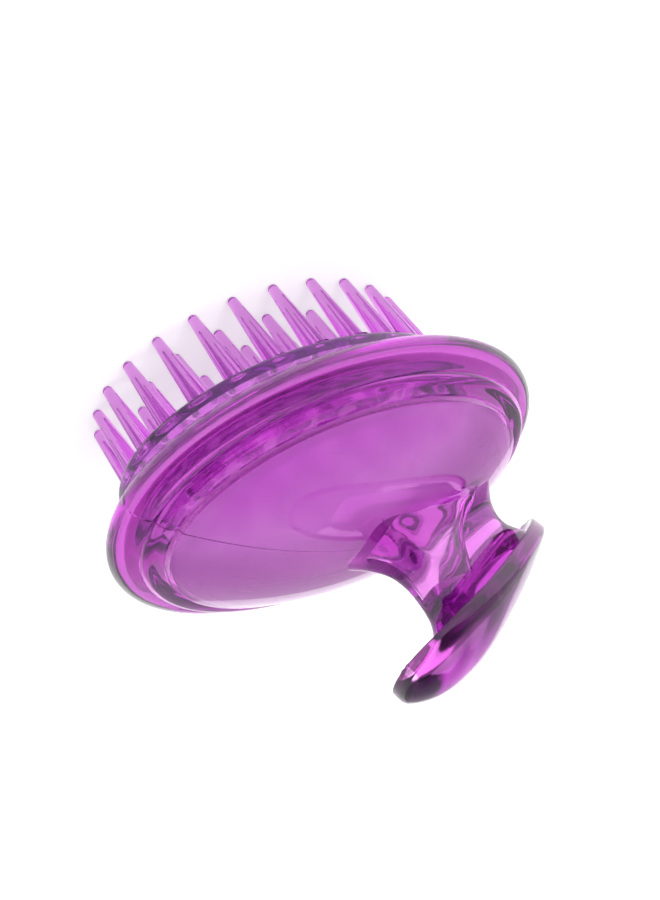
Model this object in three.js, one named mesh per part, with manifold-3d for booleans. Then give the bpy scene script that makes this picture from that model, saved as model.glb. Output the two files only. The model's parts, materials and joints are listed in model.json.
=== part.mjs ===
// Hand-held massage curry comb: a hollow oval shell with a finger-rest handle moulded on,
// closed from below by a tooth plate.  Millimetres, +Z up, standing on the tooth tips.
// X is the long axis of the oval, with the handle towards +X.  The finger rest runs in the middle plane.
import * as THREE from 'three';
import { mergeVertices } from 'three/addons/utils/BufferGeometryUtils.js';
import Module from 'manifold-3d';

// ---- oval body ------------------------------------------------------------------------
const HALF_LENGTH = 48;         // widest line of the rim, along X
const HALF_WIDTH = 34.5;        // and along Y
const RIM_Z = 26.2;             // height of the widest line
const WALL = 2.4;               // shell wall
const PANEL_IN = 8.2;           // smooth dome face starts this far inside the widest line
const PANEL_Z = 33.8;
const DOME_TOP_Z = 43.2;
const MOUTH_IN = 7.4;           // opening the tooth plate snaps into
const LIP_Z = 21.6;             // underside of the rim
const LIP_THICK = 2.2;

// Outside of the rim from its underside to the dome face: [inset, z].
const RIM_OUTSIDE = [
  [7.4, 21.6], [6.0, 21.5], [4.2, 21.9], [2.6, 22.7], [1.3, 23.7], [0.4, 24.9], [0, 26.2],
  [0.2, 27.5], [0.9, 28.7], [2.0, 29.6], [3.1, 30.1], [3.9, 30.2], [4.2, 31.0], [4.9, 31.9],
  [5.9, 32.4], [6.9, 32.6], [7.6, 32.6], [7.9, 33.5], [8.2, 33.8],
];
// Inside of the rim from the lip up: [inset, z].
const RIM_INSIDE = [
  [7.4, 23.8], [5.4, 24.3], [3.6, 25.0], [2.8, 26.2], [3.0, 27.3], [3.9, 27.9], [5.2, 28.2],
  [6.4, 28.9], [7.4, 30.1], [9.0, 30.9], [10.4, 31.9],
];

// ---- tooth plate ----------------------------------------------------------------------
const PLATE_IN = 7.7;
const PLATE_FACE_Z = 15.8;      // face the teeth stand on
const PLATE_THICK = 2.4;
const SKIRT_WALL = 1.8;
const SKIRT_TOP_Z = 26.6;
const SNAP_REACH = 0.9;         // bead that sits behind the lip of the rim
const FIT_GAP = 0.3;            // play between the bead and the lip

// ---- teeth ----------------------------------------------------------------------------
const TOOTH_BASE_R = 2.0;
const TOOTH_TIP_R = 1.0;
const TOOTH_FILLET = 0.7;
const TOOTH_ROWS = [
  { halfLength: 34.7, halfWidth: 23.5, count: 24 },
  { halfLength: 25.0, halfWidth: 15.4, count: 14 },
  { halfLength: 11.6, halfWidth: 8.2, count: 6 },
  { halfLength: 0, halfWidth: 0, count: 1 },
];

// ---- handle neck: a web across the middle plane, flaring into the dome and the rest -----
// Sections [left x, left z, right x, right z, half width y].
const NECK = [
  [-9.0, 38.0, 37.0, 31.0, 13.0],
  [-5.4, 42.0, 34.4, 34.4, 9.6],
  [-1.6, 44.8, 32.4, 37.2, 7.0],
  [1.2, 47.8, 31.2, 39.8, 5.4],
  [2.4, 51.4, 30.8, 42.2, 4.6],
  [2.6, 55.2, 31.0, 44.0, 4.4],
  [2.6, 59.2, 31.2, 45.6, 5.0],
  [1.6, 62.6, 31.6, 47.4, 6.4],
  [0.2, 66.2, 33.0, 50.6, 8.4],
];
const NECK_SQUARE = 4;          // superellipse exponent: flat faces with rounded edges
// Pocket cored out of the neck from inside the shell: [z, centre x, half x, half y].
const CORE = [
  [28.0, 12.0, 17.0, 9.5],
  [37.5, 12.3, 14.0, 7.4],
  [41.5, 12.2, 9.6, 4.4],
  [45.5, 11.5, 6.7, 3.0],
  [50.5, 10.2, 5.6, 2.6],
  [55.0, 9.0, 5.0, 2.3],
];
const CORE_SQUARE = 5;
const HANG_HOLE = { x: 21.4, z: 47.2, radius: 1.5 };

// ---- finger rest: a long curved leaf, high over the body and low at its +X end -----------
const REST_SPINE = [
  [-13.4, 70.0], [-9.8, 69.2], [-4.2, 67.2], [4.2, 63.9], [16.2, 58.2], [28.4, 51.8], [38.2, 46.0],
];
const REST_HALF_WIDTH = [13.8, 10.6];   // at the high and the low end
const REST_CROWN = [6.4, 1.4];  // crown across the width at the high and the low end
const REST_THICK = 3.3;
const REST_EDGE_POWER = 0.45;   // squares the edge of the rest, 1 is fully round

const RING_STEPS = 72;

const wasm = await Module();
wasm.setup();

function toManifold(geometry) {
  const clean = geometry.clone();
  clean.deleteAttribute('normal');
  clean.deleteAttribute('uv');
  const merged = mergeVertices(clean, 1e-4);
  return new wasm.Manifold(new wasm.Mesh({
    numProp: 3,
    vertProperties: new Float32Array(merged.attributes.position.array),
    triVerts: new Uint32Array(merged.index.array),
  }));
}

function toGeometry(manifold) {
  const mesh = manifold.getMesh();
  const geometry = new THREE.BufferGeometry();
  geometry.setAttribute('position', new THREE.BufferAttribute(mesh.vertProperties, 3));
  geometry.setIndex(new THREE.BufferAttribute(mesh.triVerts, 1));
  geometry.computeVertexNormals();
  return geometry;
}

// Closed skin through rings of equal point count, each counter-clockwise seen from the next one.
function skin(rings) {
  const count = rings[0].length;
  const position = rings.flat().flatMap((p) => [p.x, p.y, p.z]);
  const index = [];
  for (let k = 0; k < rings.length - 1; k += 1) {
    for (let i = 0; i < count; i += 1) {
      const a = k * count + i;
      const b = k * count + ((i + 1) % count);
      index.push(a, b, b + count, a, b + count, a + count);
    }
  }
  addCap(position, index, rings[0], 0, false);
  addCap(position, index, rings[rings.length - 1], (rings.length - 1) * count, true);
  const geometry = new THREE.BufferGeometry();
  geometry.setAttribute('position', new THREE.Float32BufferAttribute(position, 3));
  geometry.setIndex(index);
  return toManifold(geometry);
}

function addCap(position, index, ring, first, facesUp) {
  const hub = position.length / 3;
  const middle = new THREE.Vector3();
  ring.forEach((p) => middle.addScaledVector(p, 1 / ring.length));
  position.push(middle.x, middle.y, middle.z);
  for (let i = 0; i < ring.length; i += 1) {
    const a = first + i;
    const b = first + ((i + 1) % ring.length);
    if (facesUp) index.push(a, b, hub);
    else index.push(b, a, hub);
  }
}

// Horizontal superellipse ring.
function ovalRing([z, cx, a, b], power, steps) {
  const ring = [];
  for (let i = 0; i < steps; i += 1) {
    const t = (2 * Math.PI * i) / steps;
    const c = Math.cos(t);
    const s = Math.sin(t);
    const x = cx + a * Math.sign(c) * Math.abs(c) ** (2 / power);
    const y = b * Math.sign(s) * Math.abs(s) ** (2 / power);
    ring.push(new THREE.Vector3(x, y, z));
  }
  return ring;
}

// Oval ring of the body, a given distance inside its widest line.
function insetRing([inset, z]) {
  return ovalRing([z, 0, HALF_LENGTH - inset, HALF_WIDTH - inset], 2, RING_STEPS);
}

// Rings of the domed face from its edge to its middle, lowered by drop.
function domeRings(edgeInset, drop) {
  const rings = [];
  for (let i = 1; i <= 11; i += 1) {
    const share = i < 11 ? 1 - i / 11 : 0.004;
    const z = PANEL_Z + (DOME_TOP_Z - PANEL_Z) * (1 - share ** 2.05) - drop;
    const a = (HALF_LENGTH - edgeInset) * share;
    const b = (HALF_WIDTH - edgeInset) * share;
    rings.push(ovalRing([z, 0, a, b], 2, RING_STEPS));
  }
  return rings;
}

function bodyOutside() {
  return skin([...RIM_OUTSIDE.map(insetRing), ...domeRings(PANEL_IN, 0)]);
}

function bodyInside() {
  const mouth = [[MOUTH_IN, LIP_Z - 2], [MOUTH_IN, LIP_Z + LIP_THICK - 0.01]];
  return skin([...mouth.map(insetRing), ...RIM_INSIDE.map(insetRing), ...domeRings(10.4, WALL)]);
}

const spinePoints = REST_SPINE.map(([x, z]) => new THREE.Vector3(x, 0, z));
const restCurve = new THREE.CatmullRomCurve3(spinePoints);

// Point and outward normal on the middle line of the rest, share 0 to 1.
function restSpine(share) {
  const point = restCurve.getPointAt(share);
  const along = restCurve.getTangentAt(share);
  return { x: point.x, z: point.z, normal: [-along.z, along.x] };
}

function fingerRest() {
  const rings = [];
  const stations = 24;
  for (let k = 0; k <= stations; k += 1) {
    const share = 0.5 - 0.5 * Math.cos(Math.PI * (0.012 + (0.976 * k) / stations));
    rings.push(restSection(share).reverse());
  }
  return skin(rings);
}

// Rounded-edge cross-section of the rest: a ring across Y and the outward normal.
function restSection(share) {
  const spine = restSpine(share);
  const widest = THREE.MathUtils.lerp(...REST_HALF_WIDTH, share);
  const half = widest * (1 - Math.abs(2 * share ** 0.9 - 1) ** 2.6) ** 0.5;
  const crown = THREE.MathUtils.lerp(...REST_CROWN, share) * (half / widest);
  const edge = Math.min(half * 0.9, REST_THICK / 2);
  const side = [1, 0.5, 0, -0.5, -1].map((level) => {
    const out = Math.cos((level * Math.PI) / 2) ** REST_EDGE_POWER;
    const up = Math.sign(level) * Math.abs(Math.sin((level * Math.PI) / 2)) ** REST_EDGE_POWER;
    return [half - edge + edge * out, (REST_THICK / 2) * up];
  });
  const flat = [1, 2, 3, 4, 5, 6, 7].map((i) => (half - edge) * (1 - i / 4));
  const across = [
    ...side, ...flat.map((y) => [y, -REST_THICK / 2]),
    ...side.map(([y, up]) => [-y, -up]), ...flat.map((y) => [-y, REST_THICK / 2]),
  ];
  return across.map(([y, up]) => {
    const rise = up + crown * (1 - (y / half) ** 2);
    return new THREE.Vector3(spine.x + spine.normal[0] * rise, y, spine.z + spine.normal[1] * rise);
  });
}

// Superellipse ring of the neck, tilted to run from its left edge to its right edge.
function neckRing([x0, z0, x1, z1, halfWidth]) {
  const flat = ovalRing([0, 0, 1, halfWidth], NECK_SQUARE, 48);
  return flat.map((p) => new THREE.Vector3(
    (x0 + x1) / 2 + (p.x * (x1 - x0)) / 2,
    p.y,
    (z0 + z1) / 2 + (p.x * (z1 - z0)) / 2,
  ));
}

function hangingHole() {
  const hole = new THREE.CylinderGeometry(HANG_HOLE.radius, HANG_HOLE.radius, 40, 24);
  hole.translate(HANG_HOLE.x, 0, HANG_HOLE.z);
  return toManifold(hole);
}

function handleShell() {
  const neck = skin(NECK.map(neckRing));
  const core = skin(CORE.map((section) => ovalRing(section, CORE_SQUARE, 32)));
  const solid = bodyOutside().add(neck).add(fingerRest());
  return solid.subtract(bodyInside()).subtract(core).subtract(hangingHole()).simplify(0.015);
}

function tooth(x, y) {
  const root = PLATE_FACE_Z + 0.6;
  const outline = [[0, 0], [TOOTH_TIP_R * 0.45, 0.02], [TOOTH_TIP_R * 0.85, 0.4],
    [TOOTH_TIP_R, 1.1], [TOOTH_BASE_R, PLATE_FACE_Z - TOOTH_FILLET],
    [TOOTH_BASE_R + TOOTH_FILLET, PLATE_FACE_Z], [TOOTH_BASE_R, root], [0, root]];
  const lathe = new THREE.LatheGeometry(outline.map(([r, z]) => new THREE.Vector2(r, z)), 12);
  lathe.rotateX(Math.PI / 2);
  lathe.translate(x, y, 0);
  return toManifold(lathe);
}

function toothPlate() {
  const top = PLATE_FACE_Z + PLATE_THICK;
  const lipTop = LIP_Z + LIP_THICK + FIT_GAP;
  const outside = [[PLATE_IN + 1.6, PLATE_FACE_Z], [PLATE_IN + 0.5, PLATE_FACE_Z + 0.5],
    [PLATE_IN, PLATE_FACE_Z + 1.6], [PLATE_IN, lipTop], [PLATE_IN - SNAP_REACH, lipTop + 0.8],
    [PLATE_IN, lipTop + 2], [PLATE_IN + 0.3, SKIRT_TOP_Z]];
  const inside = [[PLATE_IN + SKIRT_WALL, top], [PLATE_IN + SKIRT_WALL, SKIRT_TOP_Z + 1]];
  let plate = skin(outside.map(insetRing)).subtract(skin(inside.map(insetRing)));
  for (const row of TOOTH_ROWS) {
    for (let i = 0; i < row.count; i += 1) {
      const a = (2 * Math.PI * i) / row.count;
      plate = plate.add(tooth(row.halfLength * Math.cos(a), row.halfWidth * Math.sin(a)));
    }
  }
  return plate;
}

function piece(name, manifold, colour) {
  const material = new THREE.MeshStandardMaterial({ color: colour, roughness: 0.2, metalness: 0 });
  material.name = `${name}_plastic`;
  const mesh = new THREE.Mesh(toGeometry(manifold), material);
  mesh.name = name;
  return mesh;
}

const part = new THREE.Group();
part.name = 'curry_comb';
part.add(piece('shell_handle', handleShell(), 0xb04acc));
part.add(piece('tooth_plate', toothPlate(), 0xb850d8));
export default part;
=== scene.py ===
"""Curry comb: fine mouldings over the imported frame, see-through plastic, studio and camera."""
import json
import math

import bmesh
import bpy
from mathutils import Matrix, Vector

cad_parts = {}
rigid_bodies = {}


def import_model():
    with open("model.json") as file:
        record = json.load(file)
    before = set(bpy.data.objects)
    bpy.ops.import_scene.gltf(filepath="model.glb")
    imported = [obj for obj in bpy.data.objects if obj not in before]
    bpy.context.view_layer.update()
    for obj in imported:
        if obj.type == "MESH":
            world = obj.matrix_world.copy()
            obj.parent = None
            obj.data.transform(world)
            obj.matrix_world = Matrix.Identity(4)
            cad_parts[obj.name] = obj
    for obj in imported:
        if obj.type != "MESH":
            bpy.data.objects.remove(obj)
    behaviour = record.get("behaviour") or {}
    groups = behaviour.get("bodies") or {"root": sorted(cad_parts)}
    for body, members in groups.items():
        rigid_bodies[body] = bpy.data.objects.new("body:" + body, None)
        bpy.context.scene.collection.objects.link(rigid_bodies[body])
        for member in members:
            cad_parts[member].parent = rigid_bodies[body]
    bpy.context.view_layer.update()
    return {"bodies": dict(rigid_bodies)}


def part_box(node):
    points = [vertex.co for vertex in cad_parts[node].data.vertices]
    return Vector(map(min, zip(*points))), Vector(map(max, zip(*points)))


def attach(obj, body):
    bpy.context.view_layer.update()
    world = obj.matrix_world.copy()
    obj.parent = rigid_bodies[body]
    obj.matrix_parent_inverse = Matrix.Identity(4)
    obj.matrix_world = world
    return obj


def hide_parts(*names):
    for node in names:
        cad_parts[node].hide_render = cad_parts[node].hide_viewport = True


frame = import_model()
BODY = next(iter(frame["bodies"]))

# ---- sizes, in millimetres, as in the solids ---------------------------------------------
HALF_LENGTH, HALF_WIDTH = 48.0, 34.5
WALL = 2.4
PANEL_IN, PANEL_Z, DOME_TOP_Z = 8.2, 33.8, 43.2
DOME_STEPS, DOME_POWER = 24, 2.05       # 2 is a parabola, and more is flatter on top
DOME_POINT = 0.003                      # the last dome ring's size as a share, almost a point
MOUTH_IN, LIP_Z, LIP_THICK = 7.4, 21.6, 2.2
RIM_OUTSIDE = [
    (7.4, 21.6), (6.0, 21.5), (4.2, 21.9), (2.6, 22.7), (1.3, 23.7), (0.4, 24.9), (0.0, 26.2),
    (0.2, 27.5), (0.9, 28.7), (2.0, 29.6), (3.1, 30.1), (3.9, 30.2),
]
SHOULDER_OUTSIDE = [(4.0, 30.5), (4.2, 31.0), (4.9, 31.9), (5.9, 32.4), (6.9, 32.6), (7.55, 32.6)]
PANEL_EDGE = [(7.7, 32.9), (7.85, 33.45), (7.95, 33.65), (8.2, 33.8)]
RIM_INSIDE = [
    (7.4, 23.8), (5.4, 24.3), (3.6, 25.0), (2.8, 26.2), (3.0, 27.3), (3.9, 27.9), (5.2, 28.2),
    (6.4, 28.9), (7.4, 30.1), (9.0, 30.9), (10.4, 31.9),
]
RING_STEPS = 216
SMOOTH_PARTS = 3                        # steps between neighbours on the rim's outlines
SEAM_RISE, SEAM_TURN = 0.14, 0.006      # parting line along the middle plane
SEAM_LIFT = 0.6                         # how far up the ridge leans for each part outward

PLATE_IN, PLATE_FACE_Z, PLATE_THICK = 7.7, 15.8, 2.4
SKIRT_WALL, SKIRT_TOP_Z = 1.8, 26.6
PLATE_EDGE_R = 1.6
SNAP_REACH, SNAP_RISE, SNAP_TOP, FIT_GAP = 0.9, 0.8, 2, 0.3
SKIRT_TAPER = 0.3
TOOTH_BASE_R, TOOTH_TIP_R, TOOTH_FILLET = 2.0, 1.0, 0.7
TOOTH_TIP_STRETCH, TOOTH_ROOT = 1.05, 0.6
TOOTH_ROWS = [(34.7, 23.5, 24), (25.0, 15.4, 14), (11.6, 8.2, 6), (0.0, 0.0, 1)]
TOOTH_STEPS = 28

NECK = [
    (-9.0, 38.0, 37.0, 31.0, 13.0), (-5.4, 42.0, 34.4, 34.4, 9.6), (-1.6, 44.8, 32.4, 37.2, 7.0),
    (1.2, 47.8, 31.2, 39.8, 5.4), (2.4, 51.4, 30.8, 42.2, 4.6), (2.6, 55.2, 31.0, 44.0, 4.4),
    (2.6, 59.2, 31.2, 45.6, 5.0), (1.6, 62.6, 31.6, 47.4, 6.4), (0.2, 66.2, 33.0, 50.6, 8.4),
]
NECK_SQUARE = 4.0
CORE = [
    (28.0, 12.0, 17.0, 9.5), (37.5, 12.3, 14.0, 7.4), (41.5, 12.2, 9.6, 4.4),
    (45.5, 11.5, 6.7, 3.0), (50.5, 10.2, 5.6, 2.6), (55.0, 9.0, 5.0, 2.3),
]
CORE_SQUARE = 5.0
HANDLE_PARTS, HANDLE_STEPS = 5, 96      # steps from row to row, and points round a ring
HOLE_X, HOLE_Z, HOLE_R = 21.4, 47.2, 1.5
HOLE_REACH, HOLE_STEPS = 20.0, 40

REST_SPINE = [
    (-13.4, 70.0), (-9.8, 69.2), (-4.2, 67.2), (4.2, 63.9), (16.2, 58.2), (28.4, 51.8), (38.2, 46.0),
]
REST_HALF_WIDTH = (13.8, 10.6)
REST_CROWN = (6.4, 1.4)
REST_THICK, REST_EDGE_POWER = 3.3, 0.45
REST_LEAN, REST_OUTLINE_POWER = 0.9, 2.6    # below 1 the leaf is widest nearer its high end
REST_END = 0.012                        # keeps the first and last rings from closing to a point
REST_RINGS, REST_EDGE_STEPS, REST_FACE_STEPS = 72, 12, 24
REST_SPINE_PARTS = 40

MERGE_GAP, TINY_EDGE = 0.004, 0.002     # closer points are merged, and shorter edges dissolved
TO_MM = 1000


# ---- mesh helpers ------------------------------------------------------------------------
def smooth_path(rows, parts):
    """Catmull-Rom through rows of numbers, parts steps between neighbours."""
    ends = [rows[0], *rows, rows[-1]]
    path = []
    for k in range(len(rows) - 1):
        p0, p1, p2, p3 = ends[k:k + 4]
        for i in range(parts):
            t = i / parts
            path.append(tuple(
                0.5 * (2 * b + (c - a) * t + (2 * a - 5 * b + 4 * c - d) * t * t
                       + (3 * b - a - 3 * c + d) * t ** 3)
                for a, b, c, d in zip(p0, p1, p2, p3)))
    return [*path, tuple(rows[-1])]


def skin(name, rings):
    """Closed mesh through rings of equal point count, each counter-clockwise seen from the next."""
    bm = bmesh.new()
    rows = [[bm.verts.new(p) for p in ring] for ring in rings]
    count = len(rings[0])
    for low, high in zip(rows, rows[1:]):
        for i in range(count):
            j = (i + 1) % count
            bm.faces.new((low[i], low[j], high[j], high[i]))
    for ring, up in ((rows[0], False), (rows[-1], True)):
        hub = bm.verts.new(sum((v.co for v in ring), Vector()) / count)
        for i in range(count):
            a, b = ring[i], ring[(i + 1) % count]
            bm.faces.new((a, b, hub) if up else (b, a, hub))
    mesh = bpy.data.meshes.new(name)
    bm.to_mesh(mesh)
    bm.free()
    piece = bpy.data.objects.new(name, mesh)
    bpy.context.scene.collection.objects.link(piece)
    return piece


def boolean(piece, other, operation):
    """Joins or cuts with the other solid, which is used up."""
    modifier = piece.modifiers.new("join", "BOOLEAN")
    modifier.operation, modifier.solver, modifier.object = operation, "EXACT", other
    modifier.material_mode = "TRANSFER"
    graph = bpy.context.evaluated_depsgraph_get()
    made = bpy.data.meshes.new_from_object(piece.evaluated_get(graph))
    piece.modifiers.clear()
    piece.data = made
    bpy.data.objects.remove(other)


def finish_piece(piece, node, material, sharp_deg):
    """Merges slivers, then gives metres, smooth shading, material and a place in the frame."""
    bm = bmesh.new()
    bm.from_mesh(piece.data)
    bmesh.ops.remove_doubles(bm, verts=bm.verts, dist=MERGE_GAP)
    bmesh.ops.dissolve_degenerate(bm, edges=bm.edges, dist=TINY_EDGE)
    low, high = (Vector(c) * TO_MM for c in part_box(node))
    for v in bm.verts:
        v.co = Vector(max(a, min(b, c)) for a, b, c in zip(low, high, v.co))
    bm.to_mesh(piece.data)
    bm.free()
    piece.data.transform(Matrix.Scale(1 / TO_MM, 4))
    piece.data.shade_smooth()
    piece.data.set_sharp_from_angle(angle=math.radians(sharp_deg))
    write_kinds(piece.data)
    piece.data.materials.clear()
    piece.data.materials.append(material)
    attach(piece, BODY)
    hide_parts(node)


def marked(piece, *names, is_second=None):
    """Names a solid's kinds of face, which a joined piece keeps; is_second picks the second."""
    for name in names:
        piece.data.materials.append(bpy.data.materials.get(name) or bpy.data.materials.new(name))
    for face in piece.data.polygons if is_second else ():
        face.material_index = int(is_second(face.index))
    return piece


def write_kinds(mesh):
    """Face values for the material: satin is 1 under the dome, edge is 1 on narrow edges, which the
    material darkens as painted shade.
    """
    names = [m.name for m in mesh.materials]
    kinds = [names[face.material_index] for face in mesh.polygons]
    satin = mesh.attributes.new("satin", "FLOAT", "FACE")
    edge = mesh.attributes.new("edge", "FLOAT", "FACE")
    for face, kind in zip(mesh.polygons, kinds):
        high = face.center.z * TO_MM > PANEL_Z - WALL
        satin.data[face.index].value = float(kind == "satin" and high)
        edge.data[face.index].value = float(kind == "edge")
    for face in mesh.polygons:
        face.material_index = 0


def ring_angles():
    """Even angles round the oval, with three close ones on the parting line."""
    even = [2 * math.pi * i / RING_STEPS for i in range(RING_STEPS)]
    return sorted([*even, math.pi - SEAM_TURN, math.pi + SEAM_TURN])


def oval(z, cx, a, b, power):
    """A level ring; a power above 2 squares its corners."""
    ring = []
    for i in range(HANDLE_STEPS):
        t = 2 * math.pi * i / HANDLE_STEPS
        c, s = math.cos(t), math.sin(t)
        ring.append((
            cx + a * math.copysign(abs(c) ** (2 / power), c),
            b * math.copysign(abs(s) ** (2 / power), s), z))
    return ring


def body_ring(a, b, z, seam=0.0):
    """A level oval of the body, with a ridge of height seam on the parting line."""
    ring = []
    for t in ring_angles():
        rise = seam if abs(t - math.pi) < 1e-6 else 0.0
        ring.append(((a + rise) * math.cos(t), b * math.sin(t), z + rise * SEAM_LIFT))
    return ring


def inset_ring(inset, z, seam=0.0):
    return body_ring(HALF_LENGTH - inset, HALF_WIDTH - inset, z, seam)


def dome_rings(edge_in, drop, seam=0.0):
    rings = []
    for i in range(1, DOME_STEPS + 1):
        share = 1 - i / DOME_STEPS if i < DOME_STEPS else DOME_POINT
        z = PANEL_Z + (DOME_TOP_Z - PANEL_Z) * (1 - share ** DOME_POWER) - drop
        rings.append(body_ring(
            (HALF_LENGTH - edge_in) * share, (HALF_WIDTH - edge_in) * share, z, seam * share))
    return rings


# ---- the two mouldings -------------------------------------------------------------------
def body_outside():
    flat = [inset_ring(i, z) for i, z in RIM_OUTSIDE[:2]]
    rim = smooth_path(RIM_OUTSIDE[1:], SMOOTH_PARTS)[1:]
    bands = [*rim, *smooth_path(SHOULDER_OUTSIDE, SMOOTH_PARTS), *PANEL_EDGE]
    raised = [inset_ring(i, z, SEAM_RISE) for i, z in bands]
    return skin("palm_shell", [*flat, *raised, *dome_rings(PANEL_IN, 0, SEAM_RISE)])


def body_inside():
    mouth = [inset_ring(MOUTH_IN, LIP_Z - 2), inset_ring(MOUTH_IN, LIP_Z + LIP_THICK - 0.01)]
    rim = [inset_ring(i, z) for i, z in smooth_path(RIM_INSIDE, SMOOTH_PARTS)]
    return skin("inside", [*mouth, *rim, *dome_rings(RIM_INSIDE[-1][0], WALL)])


def neck():
    rings = []
    for x0, z0, x1, z1, half in smooth_path(NECK, HANDLE_PARTS):
        flat = oval(0, 0, 1, half, NECK_SQUARE)
        rings.append([((x0 + x1 + x * (x1 - x0)) / 2, y, (z0 + z1 + x * (z1 - z0)) / 2)
                      for x, y, _ in flat])
    return skin("neck", rings)


def core():
    return skin("core", [oval(*row, CORE_SQUARE) for row in smooth_path(CORE, HANDLE_PARTS)])


def hanging_hole():
    turns = [2 * math.pi * i / HOLE_STEPS for i in range(HOLE_STEPS)]
    return skin("hole", [
        [(HOLE_X + HOLE_R * math.cos(t), y, HOLE_Z + HOLE_R * math.sin(t)) for t in turns]
        for y in (-HOLE_REACH, HOLE_REACH)])


def rest_section(share, x, z, normal):
    """The leaf's crowned section at a share of its length: two flat faces and two round edges."""
    widest = REST_HALF_WIDTH[0] + (REST_HALF_WIDTH[1] - REST_HALF_WIDTH[0]) * share
    half = widest * (1 - abs(2 * share ** REST_LEAN - 1) ** REST_OUTLINE_POWER) ** 0.5
    crown = (REST_CROWN[0] + (REST_CROWN[1] - REST_CROWN[0]) * share) * half / widest
    edge = min(half * 0.9, REST_THICK / 2)
    side = []
    for t in (math.radians(90 - 180 / REST_EDGE_STEPS * i) for i in range(REST_EDGE_STEPS + 1)):
        out = max(0.0, math.cos(t)) ** REST_EDGE_POWER
        up = math.copysign(abs(math.sin(t)) ** REST_EDGE_POWER, math.sin(t))
        side.append((half - edge + edge * out, REST_THICK / 2 * up))
    flat = [(half - edge) * (1 - 2 * i / REST_FACE_STEPS) for i in range(1, REST_FACE_STEPS)]
    outline = [*side, *((y, -REST_THICK / 2) for y in flat),
               *((-y, -up) for y, up in side), *((-y, REST_THICK / 2) for y in flat)]
    ring = []
    for y, up in outline:
        rise = up + crown * (1 - (y / half) ** 2)
        ring.append((x + normal[0] * rise, y, z + normal[1] * rise))
    return ring[::-1]


def finger_rest():
    path = smooth_path(REST_SPINE, REST_SPINE_PARTS)
    length = [0.0]
    for a, b in zip(path, path[1:]):
        length.append(length[-1] + math.dist(a, b))
    rings = []
    for k in range(REST_RINGS + 1):
        along = REST_END + (1 - 2 * REST_END) * k / REST_RINGS
        share = 0.5 - 0.5 * math.cos(math.pi * along)
        i = max(1, next(n for n, d in enumerate(length) if d >= share * length[-1]))
        t = (share * length[-1] - length[i - 1]) / (length[i] - length[i - 1])
        (x0, z0), (x1, z1) = path[i - 1], path[i]
        run = math.dist(path[i - 1], path[i])
        normal = (-(z1 - z0) / run, (x1 - x0) / run)
        rings.append(rest_section(share, x0 + (x1 - x0) * t, z0 + (z1 - z0) * t, normal))
    return skin("rest", rings)


# painted shade: the material darkens the faces picked here
def rest_edge(face):
    """Whether a face of the rest's skin is on a narrow edge; each ring is face, edge, face, edge."""
    half_ring = REST_EDGE_STEPS + REST_FACE_STEPS
    on_edge = REST_FACE_STEPS <= face % half_ring < half_ring - 1
    return on_edge and face < 2 * half_ring * REST_RINGS


def palm_shell(material):
    piece = marked(body_outside(), "polished")
    boolean(piece, marked(neck(), "polished"), "UNION")
    # the rest's narrow edges get the edge kind, darkened in the material as painted shade
    boolean(piece, marked(finger_rest(), "polished", "edge", is_second=rest_edge), "UNION")
    boolean(piece, marked(body_inside(), "satin"), "DIFFERENCE")
    boolean(piece, marked(core(), "polished"), "DIFFERENCE")
    boolean(piece, marked(hanging_hole(), "polished"), "DIFFERENCE")
    finish_piece(piece, "shell_handle", material, 28)


def tooth_profile():
    """Radius and height from the round tip, down the taper, to a fillet and the root."""
    tip = [(TOOTH_TIP_R * math.sin(t), TOOTH_TIP_R * (1 - math.cos(t)) * TOOTH_TIP_STRETCH)
           for t in (math.radians(a) for a in (8, 24, 40, 56, 72, 88))]
    base = [(TOOTH_BASE_R + TOOTH_FILLET * (1 - math.cos(t)),
             PLATE_FACE_Z - TOOTH_FILLET * (1 - math.sin(t)))
            for t in (math.radians(a) for a in (0, 22, 45, 67, 90))]
    return [*tip, *base, (TOOTH_BASE_R, PLATE_FACE_Z + TOOTH_ROOT)]


def all_teeth():
    """One object with every tooth, clear of each other, ready to join to the plate."""
    profile = tooth_profile()
    first, bm = None, bmesh.new()
    for half_length, half_width, count in TOOTH_ROWS:
        for i in range(count):
            t = 2 * math.pi * i / count
            x, y = half_length * math.cos(t), half_width * math.sin(t)
            one = skin("tooth", [
                [(x + r * math.cos(a), y + r * math.sin(a), z)
                 for a in (2 * math.pi * k / TOOTH_STEPS for k in range(TOOTH_STEPS))]
                for r, z in profile])
            bm.from_mesh(one.data)
            if first is None:
                first = one
            else:
                bpy.data.objects.remove(one)
    bm.to_mesh(first.data)
    bm.free()
    return first


def tooth_plate(material):
    top = PLATE_FACE_Z + PLATE_THICK
    lip_top = LIP_Z + LIP_THICK + FIT_GAP
    edge = [(PLATE_IN + PLATE_EDGE_R * (1 - math.sin(t)),
             PLATE_FACE_Z + PLATE_EDGE_R * (1 - math.cos(t)))
            for t in (math.radians(a) for a in (0, 18, 36, 54, 72, 90))]
    outside = [*edge, (PLATE_IN, lip_top), (PLATE_IN - SNAP_REACH, lip_top + SNAP_RISE),
               (PLATE_IN, lip_top + SNAP_TOP), (PLATE_IN + SKIRT_TAPER, SKIRT_TOP_Z)]
    inside = [(PLATE_IN + SKIRT_WALL, top), (PLATE_IN + SKIRT_WALL, SKIRT_TOP_Z + 1)]
    piece = marked(skin("tooth_moulding", [inset_ring(*row) for row in outside]), "polished")
    well = skin("well", [inset_ring(*row) for row in inside])
    boolean(piece, marked(well, "satin"), "DIFFERENCE")
    boolean(piece, marked(all_teeth(), "polished"), "UNION")
    finish_piece(piece, "tooth_plate", material, 30)


# ---- materials ---------------------------------------------------------------------------
REST_EDGE_PAINTED_SHADE = (0.3, 0.1, 0.28, 1)         # painted shade: the finger rest's narrow edges darkened
POLISH, WORN_POLISH, SATIN_ADDS = 0.015, 0.075, 0.3
PLASTIC_IOR = 1.5


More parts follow.
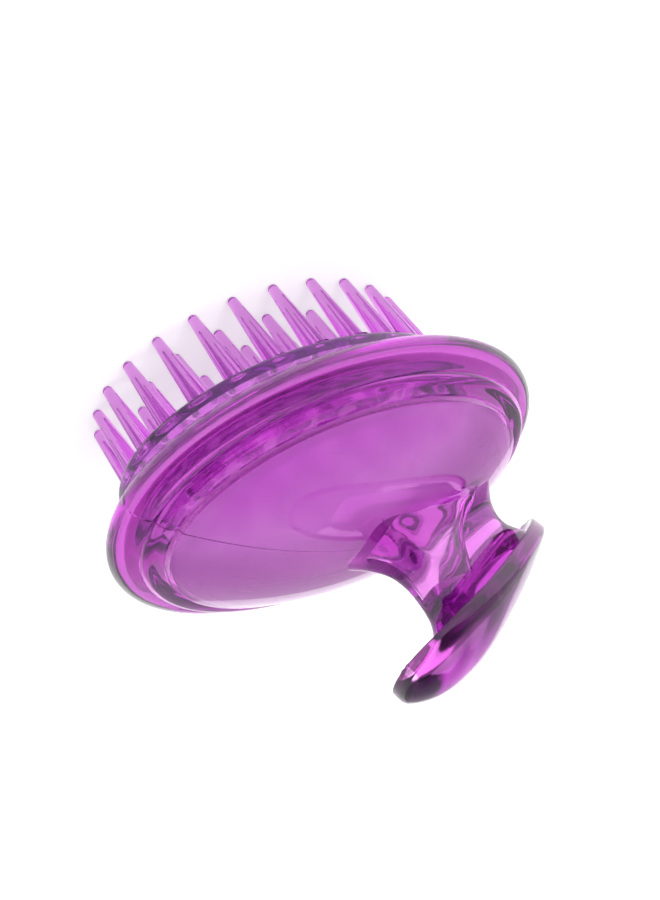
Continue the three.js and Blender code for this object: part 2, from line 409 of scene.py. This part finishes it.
class Nodes:
    """Short spelling for building one material's node tree."""

    def __init__(self, name):
        self.material = bpy.data.materials.new(name)
        self.material.use_nodes = True
        self.tree = self.material.node_tree
        self.shader = self.tree.nodes["Principled BSDF"]
        self.output = self.tree.nodes["Material Output"]

    def add(self, kind, links=(), **values):
        node = self.tree.nodes.new(kind)
        for key, value in values.items():
            setattr(node, key, value)
        for socket, source in links:
            if isinstance(source, bpy.types.NodeSocket):
                self.tree.links.new(source, node.inputs[socket])
            else:
                node.inputs[socket].default_value = source
        return node

    def ramp(self, source, stops):
        node = self.add("ShaderNodeValToRGB", [(0, source)])
        node.color_ramp.elements[0].position, node.color_ramp.elements[0].color = stops[0]
        node.color_ramp.elements[1].position, node.color_ramp.elements[1].color = stops[-1]
        for position, colour in stops[1:-1]:
            node.color_ramp.elements.new(position).color = colour
        return node.outputs[0]

    def link(self, source, socket):
        self.tree.links.new(source, self.shader.inputs[socket])


def rim_painted_shade_mask(n, place):
    """1 outside the edge of the domed face, where the wall is curled; the material darkens it there as
    painted shade.
    """
    size = (TO_MM / (HALF_LENGTH - PANEL_IN), TO_MM / (HALF_WIDTH - PANEL_IN), 0)
    scaled = n.add("ShaderNodeVectorMath", [(0, place), (1, size)], operation="MULTIPLY")
    far = n.add("ShaderNodeVectorMath", [(0, scaled.outputs[0])], operation="LENGTH")
    return n.add("ShaderNodeMapRange", [
        ("Value", far.outputs["Value"]), ("From Min", 1.0), ("From Max", 1.03)]).outputs[0]


def tooth_painted_shade_mask(n, place):
    """1 on the teeth, 0 on the plate that they stand on; the teeth get a deeper tint as painted shade.
    """
    height = n.add("ShaderNodeSeparateXYZ", [(0, place)]).outputs["Z"]
    return n.add("ShaderNodeMapRange", [
        ("Value", height), ("From Min", 0.0162), ("From Max", 0.0150)]).outputs[0]


def plastic(name, absorbs, density, tints, wear, zone, zone_painted_shade):
    """Clear injection-moulded plastic: pigment flow, painted shade on a zone and on narrow edges,
    mould ripple, hairline scratches and specks.
    """
    n = Nodes(name)
    place = n.add("ShaderNodeTexCoord").outputs["Object"]
    flow = n.add("ShaderNodeTexNoise", [
        ("Vector", place), ("Scale", 48.0), ("Detail", 3.0), ("Distortion", 1.6)]).outputs["Fac"]
    pigment = n.ramp(flow, [(0.3, tints[0]), (0.55, tints[1]), (0.8, tints[2])])
    # painted shade: the zone's tint multiplied into the pigment colour
    painted_zone_shade = n.add("ShaderNodeMix", [
        (0, zone(n, place)), (6, pigment), (7, zone_painted_shade)], data_type="RGBA", blend_type="MULTIPLY")
    # painted shade: narrow edges multiplied darker
    edge = n.add("ShaderNodeAttribute", attribute_name="edge").outputs["Fac"]
    painted_edge_shade = n.add("ShaderNodeMix", [
        (0, edge), (6, painted_zone_shade.outputs[2]), (7, REST_EDGE_PAINTED_SHADE)], data_type="RGBA", blend_type="MULTIPLY")
    n.link(painted_edge_shade.outputs[2], "Base Color")

    stretched = n.add("ShaderNodeMapping", [
        ("Vector", place), ("Rotation", (0.3, 0.5, 0.9)), ("Scale", (30.0, 1500.0, 700.0))])
    lines = n.add("ShaderNodeTexNoise", [
        ("Vector", stretched.outputs[0]), ("Scale", 1.0), ("Detail", 2.0)]).outputs["Fac"]
    scratch = n.ramp(lines, [(0.68, (0, 0, 0, 1)), (0.74, (1, 1, 1, 1))])
    cells = n.add("ShaderNodeTexVoronoi", [("Vector", place), ("Scale", 210.0)]).outputs["Distance"]
    speck = n.ramp(cells, [(0.03, (1, 1, 1, 1)), (0.06, (0, 0, 0, 1))])
    haze = n.add("ShaderNodeTexNoise", [
        ("Vector", place), ("Scale", 160.0), ("Detail", 5.0)]).outputs["Fac"]
    marks = n.add("ShaderNodeMath", [(0, scratch), (1, speck)], operation="MAXIMUM").outputs[0]
    worn = n.add("ShaderNodeMath", [(0, marks), (1, wear)], operation="MULTIPLY").outputs[0]
    low = n.add("ShaderNodeMapRange", [
        ("Value", haze), ("From Min", 0.3), ("From Max", 0.75),
        ("To Min", POLISH), ("To Max", WORN_POLISH)])
    gloss = n.add("ShaderNodeMath", [(0, low.outputs[0]), (1, worn)]).outputs[0]
    satin = n.add("ShaderNodeAttribute", attribute_name="satin").outputs["Fac"]
    matt = n.add("ShaderNodeMath", [(0, satin), (1, SATIN_ADDS), (2, gloss)], operation="MULTIPLY_ADD")
    n.link(matt.outputs[0], "Roughness")

    ripple = n.add("ShaderNodeTexNoise", [
        ("Vector", place), ("Scale", 120.0), ("Detail", 1.0)]).outputs["Fac"]
    wave = n.add("ShaderNodeBump", [("Height", ripple), ("Strength", 0.03), ("Distance", 0.0004)])
    nick = n.add("ShaderNodeBump", [
        ("Height", marks), ("Strength", 0.08), ("Distance", 0.00005),
        ("Normal", wave.outputs[0])], invert=True)
    n.link(nick.outputs[0], "Normal")
    n.shader.inputs["Transmission Weight"].default_value = 1.0
    n.shader.inputs["IOR"].default_value = PLASTIC_IOR
    depth = n.add("ShaderNodeVolumeAbsorption", [("Color", absorbs), ("Density", density)])
    n.tree.links.new(depth.outputs[0], n.output.inputs["Volume"])
    return n.material


# ---- studio ------------------------------------------------------------------------------
DARK_SIDE = (-0.7, 0.55, 0.45)          # the dim side of the room, which the camera looks from
BRIGHT, DIM = 0.75, 0.15
FLOOR_GLOW = 0.6
CAMERA_PLACE = (-0.37941, 0.30427, 0.25207)
CAMERA_RIGHT, CAMERA_FORWARD = (0.6975, 0.4724, 0.5389), (0.7095, -0.5608, -0.4267)
CLEAR_BOUNCES = 32                      # light meets many walls in a clear object


def make_floor():
    """Pale and softly glowing from above, and not there from below."""
    bpy.ops.mesh.primitive_plane_add(size=8)
    floor = bpy.context.object
    floor.name = "floor"
    n = Nodes("pale_floor")
    n.shader.inputs["Base Color"].default_value = (0.86, 0.86, 0.87, 1)
    n.shader.inputs["Roughness"].default_value = 0.8
    n.shader.inputs["Specular IOR Level"].default_value = 0.1
    n.shader.inputs["Emission Color"].default_value = (1, 1, 1, 1)
    n.shader.inputs["Emission Strength"].default_value = FLOOR_GLOW
    below = n.add("ShaderNodeNewGeometry").outputs["Backfacing"]
    clear = n.add("ShaderNodeBsdfTransparent").outputs[0]
    one_sided = n.add("ShaderNodeMixShader", [(0, below), (1, n.shader.outputs[0]), (2, clear)])
    n.tree.links.new(one_sided.outputs[0], n.output.inputs["Surface"])
    floor.data.materials.append(n.material)


def make_lights():
    """A soft room that falls off to its dim side, and three lamps that reflections don't show."""
    world = bpy.data.worlds.new("studio")
    bpy.context.scene.world = world
    world.use_nodes = True
    tree = world.node_tree
    tree.nodes["Background"].inputs["Color"].default_value = (1, 0.99, 1, 1)
    toward = tree.nodes.new("ShaderNodeVectorMath")
    toward.operation = "DOT_PRODUCT"
    toward.inputs[1].default_value = DARK_SIDE
    tree.links.new(tree.nodes.new("ShaderNodeTexCoord").outputs["Generated"], toward.inputs[0])
    fall = tree.nodes.new("ShaderNodeMapRange")
    fall.interpolation_type = "SMOOTHSTEP"
    for key, value in (("From Min", 0.0), ("From Max", 0.85), ("To Min", BRIGHT), ("To Max", DIM)):
        fall.inputs[key].default_value = value
    tree.links.new(toward.outputs["Value"], fall.inputs["Value"])
    tree.links.new(fall.outputs[0], tree.nodes["Background"].inputs["Strength"])
    for name, place, size, power in (
            ("key", (-0.5, 0.9, 1.2), 0.9, 9.0),
            ("fill", (-1.2, -0.6, 0.9), 0.8, 4.0),
            ("back", (1.0, -0.7, 0.9), 0.9, 6.0)):
        data = bpy.data.lights.new(name, "AREA")
        data.size, data.energy = size, power
        lamp = bpy.data.objects.new(name, data)
        lamp.location = place
        lamp.visible_glossy = False
        aim = Vector((0, 0, 0.03)) - Vector(place)
        lamp.rotation_euler = aim.to_track_quat("-Z", "Y").to_euler()
        bpy.context.scene.collection.objects.link(lamp)


def make_camera():
    data = bpy.data.cameras.new("camera")
    data.lens, data.sensor_width = 120.0, 36.0
    camera = bpy.data.objects.new("camera", data)
    forward = Vector(CAMERA_FORWARD).normalized()
    right = Vector(CAMERA_RIGHT)
    right = (right - forward * right.dot(forward)).normalized()
    up = right.cross(forward)
    turn = Matrix((right, up, -forward)).transposed().to_4x4()
    camera.matrix_world = Matrix.Translation(CAMERA_PLACE) @ turn
    bpy.context.scene.collection.objects.link(camera)
    bpy.context.scene.camera = camera


shell_look = plastic(
    "shell_plastic", (0.78, 0.1, 0.8, 1), 150.0,
    [(0.88, 0.55, 0.87, 1), (0.92, 0.64, 0.91, 1), (0.9, 0.6, 0.89, 1)], 0.22,
    # painted shade: this tint darkens the curled rim
    rim_painted_shade_mask, (0.7, 0.34, 0.7, 1))
tooth_look = plastic(
    "tooth_plastic", (0.78, 0.1, 0.82, 1), 150.0,
    [(0.79, 0.62, 0.82, 1), (0.83, 0.7, 0.86, 1), (0.81, 0.66, 0.84, 1)], 0.16,
    # painted shade: this tint makes the teeth deeper than their plate
    tooth_painted_shade_mask, (1.0, 0.62, 1.0, 1))
palm_shell(shell_look)
tooth_plate(tooth_look)
make_floor()
make_lights()
make_camera()

scene = bpy.context.scene
scene.view_settings.view_transform = "Standard"
scene.cycles.max_bounces = CLEAR_BOUNCES
scene.cycles.transmission_bounces = CLEAR_BOUNCES
scene.cycles.glossy_bounces = CLEAR_BOUNCES
